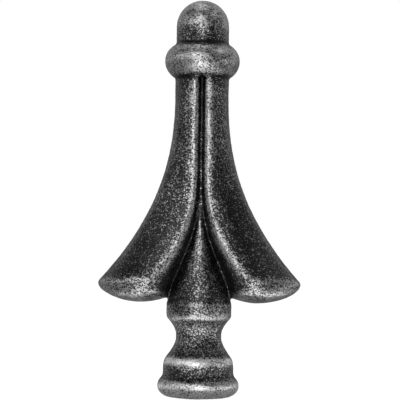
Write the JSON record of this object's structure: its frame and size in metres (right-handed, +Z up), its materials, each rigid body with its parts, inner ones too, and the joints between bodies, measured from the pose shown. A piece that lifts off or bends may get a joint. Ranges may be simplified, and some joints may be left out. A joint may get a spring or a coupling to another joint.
{
  "type": "fence spear point",
  "caption": "Iron finial for the top of a fence picket: a dome and collar over a two-lobed flared skirt, on a waisted column with a round foot.",
  "frame": {"origin": "middle of the flat underside of the foot", "axes": "+Z up the spear point to the top of its dome, +X across the two lobes of the skirt, -Y towards the front, where the cone shows between the lobes; the back is the same"},
  "size_m": [0.0664, 0.0268, 0.13],
  "materials": {
    "cast_iron": "blackened, with the raised parts rubbed to a bright grainy silver"
  },
  "bodies": {
    "root": {"spear_point": "cast_iron"}
  },
  "joints": []
}
